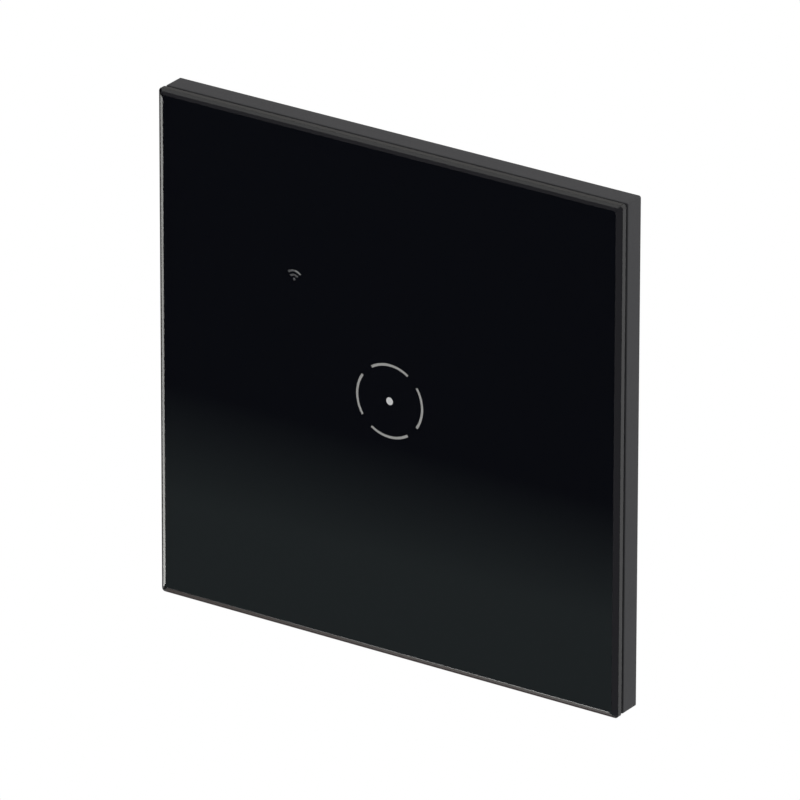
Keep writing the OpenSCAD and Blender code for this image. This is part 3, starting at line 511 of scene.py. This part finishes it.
# Chip parts of the sensor board: the middle's x and z in millimetres, and the turn in degrees
CHIPS = (
    (-17.6, -9.6, 90), (-17.6, -12.4, 90), (-17.6, -15.2, 90), (-8.4, -9.8, 90), (-8.4, -12.6, 90),
    (-8.4, -15.4, 90), (-15.2, -17.0, 0), (-12.0, -17.0, 0), (-14.6, 7.6, 0), (-14.6, 5.8, 0),
    (-11.4, 9.4, 0), (-11.4, 11.2, 0), (0.6, 10.2, 90), (0.6, 13.2, 90), (0.6, 16.2, 90),
    (-2.0, 10.2, 90), (-2.0, 13.2, 90), (10.6, 3.4, 0), (10.6, 1.4, 0), (10.6, -0.6, 0),
    (10.6, -2.6, 0), (7.4, -12.0, 0), (7.4, -14.0, 0), (7.4, -16.0, 0), (11.2, -12.0, 90),
    (13.4, -12.0, 90), (15.6, -12.0, 90), (13.2, 5.6, 0),
)
# The material of each CAD node
SLOTS = {row["node"]: row["material_slot"] for row in frame["record"]["subparts"]}


def material(slot):
    """The material of a slot; all are made at the first call."""
    if slot not in bpy.data.materials or "switch_finish" not in bpy.data.materials[slot]:
        scene = bpy.context.scene
        plain = {m["slot"] for m in frame["record"]["materials"]} & set(bpy.data.materials.keys())
        for name in plain:
            bpy.data.materials[name].name = name + ".plain"
        for made in finishes(scene.switch_sizes, scene.switch_colours).values():
            made["switch_finish"] = True
    return bpy.data.materials[slot]


def coat(piece, slot):
    """A piece's only material becomes that of a slot."""
    piece.data.materials.clear()
    piece.data.materials.append(material(slot))


def dress(*names):
    """CAD nodes that keep their own shape get the finish of their slot."""
    for name in names:
        coat(frame["nodes"][name], SLOTS[name])


def deselect():
    """Object mode with nothing selected."""
    if bpy.context.object and bpy.context.object.mode != "OBJECT":
        bpy.ops.object.mode_set(mode="OBJECT")
    bpy.ops.object.select_all(action="DESELECT")


def named(name):
    """Names the active object and its data."""
    piece = bpy.context.object
    piece.name = piece.data.name = name
    return piece


def block(name, lo, hi):
    """A box between two corners, its place in its mesh."""
    deselect()
    lo, hi = Vector(lo), Vector(hi)
    bpy.ops.mesh.primitive_cube_add(size=1, location=(lo + hi) / 2, scale=hi - lo)
    bpy.ops.object.transform_apply(location=True, rotation=True, scale=True)
    return named(name)


def choose(piece, mode, test):
    """Opens edit mode with the faces, edges or points that pass the test selected."""
    bpy.ops.object.mode_set(mode="EDIT")
    bpy.ops.mesh.select_mode(type=mode)
    bpy.ops.mesh.select_all(action="DESELECT")
    bpy.ops.object.mode_set(mode="OBJECT")
    mesh = piece.data
    if mode == "FACE":
        for face in mesh.polygons:
            face.select = test(face.center, face.normal)
    elif mode == "EDGE":
        for edge in mesh.edges:
            edge.select = test(*(mesh.vertices[i].co for i in edge.vertices))
    else:
        for point in mesh.vertices:
            point.select = test(point.co)
    bpy.ops.object.mode_set(mode="EDIT")


def leave_edit():
    """Back to object mode."""
    bpy.ops.object.mode_set(mode="OBJECT")


def finish_with(piece, kind, **settings):
    """Adds a modifier and applies it."""
    deselect()
    bpy.context.view_layer.objects.active = piece
    piece.select_set(True)
    modifier = piece.modifiers.new(kind.lower(), kind)
    for key, value in settings.items():
        setattr(modifier, key, value)
    bpy.ops.object.modifier_apply(modifier=modifier.name)


def carrier_of(node):
    """The body that a CAD node rides on."""
    return body_of(frame["nodes"][node])[0]


def hand_over(piece, body, slot, *nodes):
    """A finished piece gets its material, rides on its body and may stand for CAD nodes."""
    coat(piece, slot)
    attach(piece, body)
    if nodes:
        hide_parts(*nodes)


def copied(piece, name, place, turn):
    """A copy with its own mesh, turned about the Y axis and moved to its place."""
    deselect()
    bpy.context.view_layer.objects.active = piece
    piece.select_set(True)
    bpy.ops.object.duplicate()
    copy = named(name)
    copy.rotation_euler.y = turn
    copy.location = place
    bpy.ops.object.transform_apply(location=True, rotation=True, scale=True)
    return copy


def joined(name, pieces):
    """Pieces of one material as one object."""
    deselect()
    for piece in pieces:
        piece.select_set(True)
    bpy.context.view_layer.objects.active = pieces[0]
    bpy.ops.object.join()
    return named(name)


def soften(piece, width):
    """Rounds every edge of a block."""
    choose(piece, "EDGE", lambda a, b: True)
    bpy.ops.mesh.bevel(offset=width, segments=2)
    leave_edit()


def spread(piece, name, places):
    """Copies of a model at places of x, y, z and turn, joined; the model itself goes."""
    row = [copied(piece, name, place[:3], place[3]) for place in places]
    bpy.data.objects.remove(piece)
    return joined(name, row)


# Depths of the inner facet's strips as shares of an even strip's, for a slight crown
CROWN = (1.042, 1.014, 0.986, 0.958)


class SWITCH_OT_glass(bpy.types.Operator):
    """Model the bevelled glass plate with its polished and rounded edges"""

    bl_idname = "switch.glass"
    bl_label = "Glass plate"

    def execute(self, context):
        sizes = context.scene.switch_sizes
        lo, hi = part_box("glass_panel")
        ink_lo, ink_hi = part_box("ink_mask")
        rear = (ink_lo.y + ink_hi.y) / 2
        shoulder = lo.y + sizes.inner_depth + sizes.outer_depth
        plate = block("glass_plate", (lo.x, shoulder, lo.z), (hi.x, rear, hi.z))
        choose(plate, "EDGE", lambda a, b: abs(a.y - b.y) > sizes.outer_depth)
        bpy.ops.mesh.bevel(offset=sizes.corner, segments=8)
        leave_edit()
        width = hi.x - lo.x
        facets = [(sizes.outer_width, sizes.outer_depth)]
        strips = len(CROWN)
        for share in CROWN:
            facets.append((sizes.inner_width / strips, sizes.inner_depth / strips * share))
        for step, depth in facets:
            front = min(point.co.y for point in plate.data.vertices)
            choose(plate, "FACE", lambda c, n: n.y < TO_FRONT and c.y < front + NEAR)
            bpy.ops.mesh.extrude_region_move(TRANSFORM_OT_translate={"value": (0, -depth, 0)})
            narrower = 1 - 2 * step / width
            bpy.ops.transform.resize(value=(narrower, 1, narrower), center_override=(0, 0, 0))
            leave_edit()
            width -= 2 * step
        for level, offset, segments in ((shoulder, sizes.edge_round, 3), (rear, sizes.rear_arris, 1)):
            choose(plate, "EDGE", lambda a, b: max(abs(a.y - level), abs(b.y - level)) < NEAR)
            bpy.ops.mesh.bevel(offset=offset, segments=segments)
            leave_edit()
        finish_with(plate, "BEVEL", width=0.02 * MM, segments=2, limit_method="ANGLE",
                    angle_limit=math.radians(8), harden_normals=True)
        hand_over(plate, "front_panel", "clear_glass", "glass_panel")
        return {"FINISHED"}


class SWITCH_OT_panel_layers(bpy.types.Operator):
    """Finish the print, film, tape and carrier behind the glass"""

    bl_idname = "switch.panel_layers"
    bl_label = "Layers behind the glass"

    def execute(self, context):
        dress("ink_mask", "diffuser_film", "bond_tape", "panel_carrier")
        return {"FINISHED"}


class SWITCH_OT_frame(bpy.types.Operator):
    """Finish the moulded mounting frame"""

    bl_idname = "switch.frame"
    bl_label = "Mounting frame"

    def execute(self, context):
        dress("mounting_frame")
        return {"FINISHED"}


class SWITCH_OT_lights(bpy.types.Operator):
    """Finish the light shroud, the light pipes and the lamps"""

    bl_idname = "switch.lights"
    bl_label = "Lights"

    def execute(self, context):
        dress("light_shroud", "dot_light_pipe", "signal_light_pipe", "touch_leds", "signal_led")
        return {"FINISHED"}


# Points of the spring's path in one turn
SPRING_POINTS = 40


class SWITCH_OT_touch_spring(bpy.types.Operator):
    """Wind the conical touch spring from round wire"""

    bl_idname = "switch.touch_spring"
    bl_label = "Touch spring"

    def execute(self, context):
        sizes = context.scene.switch_sizes
        radius = sizes.spring_wire / 2
        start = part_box("sensor_board")[0].y - radius
        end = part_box("light_shroud")[0].y + radius
        count = round(sizes.spring_turns * SPRING_POINTS)
        deselect()
        bpy.ops.curve.primitive_bezier_curve_add(location=(0, 0, 0))
        spring = named("touch_spring_wire")
        spring.data.splines.clear()
        wire = spring.data.splines.new("POLY")
        wire.points.add(count)
        for i, point in enumerate(wire.points):
            done = i / count
            turn = 2 * math.pi * sizes.spring_turns * done
            reach = sizes.spring_narrow + (sizes.spring_wide - sizes.spring_narrow) * done
            point.co = (reach * math.cos(turn), start + (end - start) * done, reach * math.sin(turn), 1)
        spring.data.bevel_depth = radius
        spring.data.bevel_resolution = 4
        spring.data.use_fill_caps = True
        bpy.ops.object.convert(target="MESH")
        bpy.ops.object.shade_smooth()
        hand_over(bpy.context.object, carrier_of("touch_spring"), "spring_wire", "touch_spring")
        return {"FINISHED"}


class SWITCH_OT_boards(bpy.types.Operator):
    """Finish the boards and what is soldered to the sensor board"""

    bl_idname = "switch.boards"
    bl_label = "Boards"

    def execute(self, context):
        dress("sensor_board", "wireless_board", "wireless_shield", "board_screws", "board_spacers",
              "header_body", "header_pins", "power_board")
        return {"FINISHED"}


class SWITCH_OT_small_parts(bpy.types.Operator):
    """Model the touch chip with its legs, the chip parts and the solder on the header's pins"""

    bl_idname = "switch.small_parts"
    bl_label = "Small board parts"

    def chip_parts(self, face):
        """Ceramic blocks with tinned ends that run out in solder."""
        half, end, high, wide, run = 0.8 * MM, 0.5 * MM, 0.46 * MM, 0.41 * MM, 0.3 * MM
        inset, lift, rounding = 0.01 * MM, 0.04 * MM, 0.04 * MM
        body = block("chip_body", (-end - inset, -high + inset, -wide + inset),
                     (end + inset, -lift, wide - inset))
        soften(body, rounding)
        cap = block("chip_end", (end, -high, -wide), (half, 0, wide))
        choose(cap, "VERT", lambda p: p.x > half - NEAR and p.y > -NEAR)
        bpy.ops.transform.translate(value=(run, 0, 0))
        leave_edit()
        soften(cap, rounding)
        other = copied(cap, "chip_end", (0, 0, 0), math.pi)
        caps = joined("chip_ends", [cap, other])
        places = [(x * MM, face, z * MM, math.radians(turn)) for x, z, turn in CHIPS]
        hand_over(spread(body, "chip_bodies", places), carrier_of("sensor_board"), "bobbin_plastic")
        hand_over(spread(caps, "chip_ends", places), carrier_of("sensor_board"), "shield_tin")

    def touch_chip(self, face):
        """A drafted body that stands on two rows of bent legs."""
        lo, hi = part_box("touch_chip")
        leg, stand, thick, half, foot_long = 0.6 * MM, 0.15 * MM, 0.16 * MM, 0.2 * MM, 0.35 * MM
        draft = (0.94, 1, 0.93)
        bends = ((0, -0.6 * MM, -0.1 * MM), (0, 0, -0.25 * MM))
        pitch, legs = 1.27 * MM, 4
        body = block("touch_chip_body", (lo.x, lo.y, lo.z + leg), (hi.x, face - stand, hi.z - leg))
        choose(body, "FACE", lambda c, n: n.y < TO_FRONT)
        middle = (lo + hi) / 2
        bpy.ops.transform.resize(value=draft, center_override=middle)
        leave_edit()
        soften(body, 0.07 * MM)
        hand_over(body, carrier_of("touch_chip"), "chip_epoxy", "touch_chip")
        reach = (hi.z - lo.z) / 2
        foot = block("touch_chip_leg", (-half, -thick, reach - foot_long), (half, 0, reach))
        for step in bends:
            inner = min(point.co.z for point in foot.data.vertices)
            choose(foot, "FACE", lambda c, n: n.z < -0.9 and c.z < inner + NEAR)
            bpy.ops.mesh.extrude_region_move(TRANSFORM_OT_translate={"value": step})
            leave_edit()
        finish_with(foot, "BEVEL", width=0.03 * MM, segments=2, limit_method="ANGLE",
                    angle_limit=math.radians(30))
        first = middle.x - (legs - 1) / 2 * pitch
        rows = [(first + i * pitch, face, middle.z, turn) for turn in (0, math.pi) for i in range(legs)]
        hand_over(spread(foot, "touch_chip_legs", rows), carrier_of("touch_chip"), "shield_tin")

    def pin_solder(self, face):
        """A fillet of solder round each of the header's pins."""
        lo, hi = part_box("header_pins")
        high, pin_half, pitch = 0.5 * MM, 0.32 * MM, 2.54 * MM
        deselect()
        bpy.ops.mesh.primitive_cone_add(
            vertices=24, radius1=0.9 * MM, radius2=0.42 * MM, depth=high,
            location=(0, -high / 2, 0), rotation=(math.pi / 2, 0, 0))
        bpy.ops.object.transform_apply(location=True, rotation=True, scale=True)
        cone = named("pin_solder")
        choose(cone, "EDGE", lambda a, b: abs(a.y - b.y) < NEAR)
        bpy.ops.mesh.bevel(offset=0.12 * MM, segments=3)
        leave_edit()
        bpy.ops.object.shade_smooth()
        middle = (lo + hi) / 2
        count = round((hi.x - lo.x) / pitch) + 1
        rows = [(lo.x + pin_half + i * pitch, face, middle.z, 0) for i in range(count)]
        hand_over(spread(cone, "pin_solder", rows), carrier_of("sensor_board"), "shield_tin")

    def execute(self, context):
        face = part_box("sensor_board")[0].y
        self.chip_parts(face)
        self.touch_chip(face)
        self.pin_solder(face)
        return {"FINISHED"}


class SWITCH_OT_relay(bpy.types.Operator):
    """Finish the relay's case, coil, armature and contacts"""

    bl_idname = "switch.relay"
    bl_label = "Relay"

    def execute(self, context):
        dress(*(name for name in frame["nodes"] if name.startswith("relay_")))
        return {"FINISHED"}


class SWITCH_OT_power_parts(bpy.types.Operator):
    """Finish the parts of the power supply"""

    bl_idname = "switch.power_parts"
    bl_label = "Power parts"

    def execute(self, context):
        dress("transformer_core", "transformer_bobbin", "transformer_winding", "electrolytic_capacitors",
              "film_capacitor", "varistor", "fuse", "bridge_rectifier")
        return {"FINISHED"}


class SWITCH_OT_terminals(bpy.types.Operator):
    """Finish the terminal block, its cages, screws and contacts"""

    bl_idname = "switch.terminals"
    bl_label = "Terminals"

    def execute(self, context):
        dress(*(name for name in frame["nodes"] if name.startswith("terminal_")))
        return {"FINISHED"}


class SWITCH_OT_housing(bpy.types.Operator):
    """Finish the rear housing and its screws"""

    bl_idname = "switch.housing"
    bl_label = "Rear housing"

    def execute(self, context):
        dress("rear_housing", "housing_screws")
        return {"FINISHED"}


def card(name, centre, facing, width, height, tone):
    """A card that shows only in gloss; tone gives its light from the paint and its x, y and z."""
    deselect()
    bpy.ops.mesh.primitive_plane_add(size=1, location=centre)
    sheet = named(name)
    sheet.rotation_mode = "QUATERNION"
    sheet.rotation_quaternion = Vector(facing).to_track_quat("Z", "Y")
    sheet.scale = (width, height, 1)
    bpy.ops.object.transform_apply(location=True, rotation=True, scale=True)
    paint = new_paint(name)
    shown = tone(paint, *paint.axes(paint.place()))
    light = paint.node("ShaderNodeEmission", None, {0: shown, 1: 1.0})
    paint.node("ShaderNodeOutputMaterial", None, {0: light})
    sheet.data.materials.append(paint.owner)
    sheet.visible_camera = sheet.visible_diffuse = sheet.visible_shadow = False
    sheet.visible_transmission = False


def lamp(name, place, power, size):
    """A square lamp that looks at the switch and doesn't show in gloss."""
    deselect()
    bpy.ops.object.light_add(type="AREA", location=place)
    light = named(name)
    light.data.energy = power
    light.data.size = size
    light.rotation_mode = "QUATERNION"
    light.rotation_quaternion = Vector(place).to_track_quat("Z", "Y")
    light.visible_camera = light.visible_glossy = False


# Studio: the point that the camera looks at and its roll, then places and sizes in metres
CAMERA_TARGET = Vector((-1.36, 0, -1.9)) * MM
CAMERA_ROLL = math.radians(0.11)
FLOOR_RADIUS = 0.75
FLOOR_FADE = (0.2, 0.7)
LAMP_SIZE = 0.7
KEY_PLACE = (0.7, -0.55, 0.9)
REAR_PLACE = (-0.7, 0.9, 0.6)
REAR_SHARE = 0.6
# The left light's depth, and the x between which the lower cards change
LEFT_LIGHT_Y = -0.18
LOWER_RUN = (-0.268, -0.163)


class SWITCH_OT_stage(bpy.types.Operator):
    """Set up the camera, the white surroundings, the pale floor, the lamps and the cards"""

    bl_idname = "switch.stage"
    bl_label = "Studio"

    def camera(self, scene, studio):
        """A long lens from the right and above."""
        turn, rise = math.radians(studio.azimuth), math.radians(studio.elevation)
        flat = math.cos(rise)
        back = Vector((math.sin(turn) * flat, -math.cos(turn) * flat, math.sin(rise)))
        deselect()
        bpy.ops.object.camera_add(location=CAMERA_TARGET + back * studio.distance)
        view = named("camera")
        view.rotation_mode = "QUATERNION"
        roll = Quaternion((0, 0, 1), CAMERA_ROLL)
        view.rotation_quaternion = (-back).to_track_quat("-Z", "Y") @ roll
        view.data.sensor_width = 36
        view.data.lens = studio.lens
        view.data.clip_start, view.data.clip_end = 0.01, 100
        scene.camera = view

    def surroundings(self, scene, studio):
        """White to the eye and in gloss, and weaker on matt surfaces."""
        scene.world = bpy.data.worlds.new("studio_white")
        paint = Paint(scene.world)
        path = paint.node("ShaderNodeLightPath").socket.node
        rays = ("Is Camera Ray", "Is Glossy Ray", "Is Transmission Ray")
        seen = [Value(paint, path.outputs[name]) for name in rays]
        white = seen[0].peak(seen[1]).peak(seen[2])
        sky = paint.node("ShaderNodeBackground", None, {
            0: (1.0, 1.0, 1.0, 1.0), 1: white * (1 - studio.ambient) + studio.ambient})
        paint.node("ShaderNodeOutputWorld", None, {0: sky})

    def floor(self, studio):
        """A pale disc that fades out at its rim."""
        deselect()
        bpy.ops.mesh.primitive_circle_add(
            vertices=96, radius=FLOOR_RADIUS, fill_type="NGON", location=(0, 0, -studio.floor_drop))
        ground = named("floor")
        paint = new_paint("pale_floor")
        mottle = paint.noise(paint.place(), 30)
        x, y, _ = paint.axes(paint.place())
        pale = paint.node("ShaderNodeBsdfDiffuse", None, {
            0: paint.mix(mottle, (0.93, 0.93, 0.93), (0.95, 0.95, 0.95))})
        fade = ((x * x + y * y) ** 0.5).ramp(*FLOOR_FADE)
        clear = paint.node("ShaderNodeBsdfTransparent")
        blend = paint.node("ShaderNodeMixShader", None, {0: fade, 1: pale, 2: clear})
        paint.node("ShaderNodeOutputMaterial", None, {0: blend})
        ground.data.materials.append(paint.owner)

    def cards(self):
        """Dark walls round the face, and a light and a dark card for each facet that is seen lit."""
        front, left, right, below = (0, 1, 0), (1, 0, 0), (-1, 0, 0), (0, 0, 1)
        card("front_wall", (0.2, -0.4, -0.13), front, 1.52, 0.9, self.front_tone)
        card("left_wall", (-0.56, -0.235, -0.13), left, 0.33, 0.9, self.side_tone)
        card("right_wall", (0.96, -0.235, -0.13), right, 0.33, 0.9, self.side_tone)
        card("left_light", (-0.462, LEFT_LIGHT_Y, -0.2), left, 0.036, 0.16, self.left_tone)
        card("left_flag", (-0.5, 0.0, -0.2), left, 0.14, 0.2, self.flag_tone)
        card("lower_light", (-0.22, -0.183, -0.363), below, 0.15, 0.036, self.lower_tone)
        card("lower_flag", (-0.19, -0.04, -0.363), below, 0.15, 0.12, self.warm_tone)
        for name, place, facing in (
                ("rear_flag", (-0.308, 0.457, 0.237), (0.513, -0.761, -0.396)),
                ("right_flag", (0.349, 0.456, -0.24), (-0.513, -0.761, 0.396))):
            card(name, place, facing, 0.6, 0.6, self.flag_tone)

    @staticmethod
    def wall_tone(paint, x, y, z):
        """Dark, and lighter below, where the face mirrors it."""
        rise = z.ramp(-0.24, -0.2155, kind="LINEAR")
        return paint.mix(rise, (0.25, 0.305, 0.32), (0.052, 0.058, 0.086))

    @staticmethod
    def side_tone(paint, x, y, z):
        """Dark, and lighter near the floor."""
        return paint.mix(z.ramp(-0.36, -0.2), (0.16, 0.165, 0.17), (0.05, 0.05, 0.055))

    def front_tone(self, paint, x, y, z):
        """The wall's tone, and a lighter one where the upper and right bevels mirror it."""
        edge = paint.mix(z.ramp(0.12, 0.2), (0.36, 0.355, 0.40), (1.2, 1.2, 1.2))
        beside = x.ramp(-0.15, -0.02).peak(z.ramp(-0.11, 0.04)) * x.ramp(0.26, 0.34, 1.0, 0.0)
        return paint.mix(beside, self.wall_tone(paint, x, y, z), edge)

    @staticmethod
    def left_tone(paint, x, y, z):
        """A bright strip with dark sides."""
        strip = paint.mix(z.ramp(-0.26, -0.2), (6.6, 6.6, 6.4), (3.8, 3.8, 3.7))
        return paint.mix((y - LEFT_LIGHT_Y).size().ramp(0.01, 0.017), strip, (0.06, 0.06, 0.08))

    @staticmethod
    def lower_tone(paint, x, y, z):
        """A line for the inner facet and a warm tone for the outer one, both lighter to the right."""
        along = x.ramp(*LOWER_RUN, kind="LINEAR")
        line = paint.mix(along, (0.7, 0.68, 0.66), (5.2, 5.2, 5.1))
        facet = paint.mix(along, (0.9, 0.76, 0.72), (1.6, 1.5, 1.45))
        return paint.mix(y.ramp(-0.1895, -0.1845), line, facet)

    @staticmethod
    def warm_tone(paint, x, y, z):
        """A warm dark grey."""
        return paint.mix(x.ramp(*LOWER_RUN), (0.46, 0.39, 0.37), (0.5, 0.42, 0.41))

    @staticmethod
    def flag_tone(paint, x, y, z):
        """A grey that is lighter to the right."""
        return paint.mix(x.ramp(0.08, 0.12), (0.43, 0.42, 0.41), (0.75, 0.75, 0.76))

    def execute(self, context):
        scene = context.scene
        studio = scene.switch_studio
        scene.view_settings.view_transform = "Standard"
        self.camera(scene, studio)
        self.surroundings(scene, studio)
        self.floor(studio)
        self.cards()
        lamp("key_lamp", KEY_PLACE, studio.key, LAMP_SIZE)
        lamp("rear_lamp", REAR_PLACE, studio.key * REAR_SHARE, LAMP_SIZE)
        return {"FINISHED"}


class SWITCH_PT_parts(bpy.types.Panel):
    """Sizes, colours and studio of the switch, and the steps that build it"""

    bl_idname = "SWITCH_PT_parts"
    bl_label = "Touch Light Switch"
    bl_space_type = "VIEW_3D"
    bl_region_type = "UI"
    bl_category = "Switch"

    def draw(self, context):
        for step in STEPS:
            self.layout.operator(step.bl_idname)
        for group, kind in GROUPS.items():
            box = self.layout.box()
            for name in kind.__annotations__:
                box.prop(getattr(context.scene, group), name)


GROUPS = {
    "switch_sizes": SwitchSizes,
    "switch_colours": SwitchColours,
    "switch_studio": SwitchStudio,
}
STEPS = (
    SWITCH_OT_stage, SWITCH_OT_glass, SWITCH_OT_panel_layers, SWITCH_OT_frame,
    SWITCH_OT_lights, SWITCH_OT_touch_spring, SWITCH_OT_boards, SWITCH_OT_small_parts,
    SWITCH_OT_relay, SWITCH_OT_power_parts, SWITCH_OT_terminals, SWITCH_OT_housing,
)


def register():
    """Adds the classes, and the settings to the scene."""
    for kind in (*GROUPS.values(), *STEPS, SWITCH_PT_parts):
        bpy.utils.register_class(kind)
    for name, kind in GROUPS.items():
        setattr(bpy.types.Scene, name, bpy.props.PointerProperty(type=kind))


def unregister():
    """Takes the settings and the classes away."""
    for name in GROUPS:
        delattr(bpy.types.Scene, name)
    for kind in reversed((*GROUPS.values(), *STEPS, SWITCH_PT_parts)):
        bpy.utils.unregister_class(kind)


def main():
    """Registers the classes and runs every step."""
    register()
    for step in STEPS:
        family, action = step.bl_idname.split(".")
        getattr(getattr(bpy.ops, family), action)()


if __name__ == "__main__":
    main()
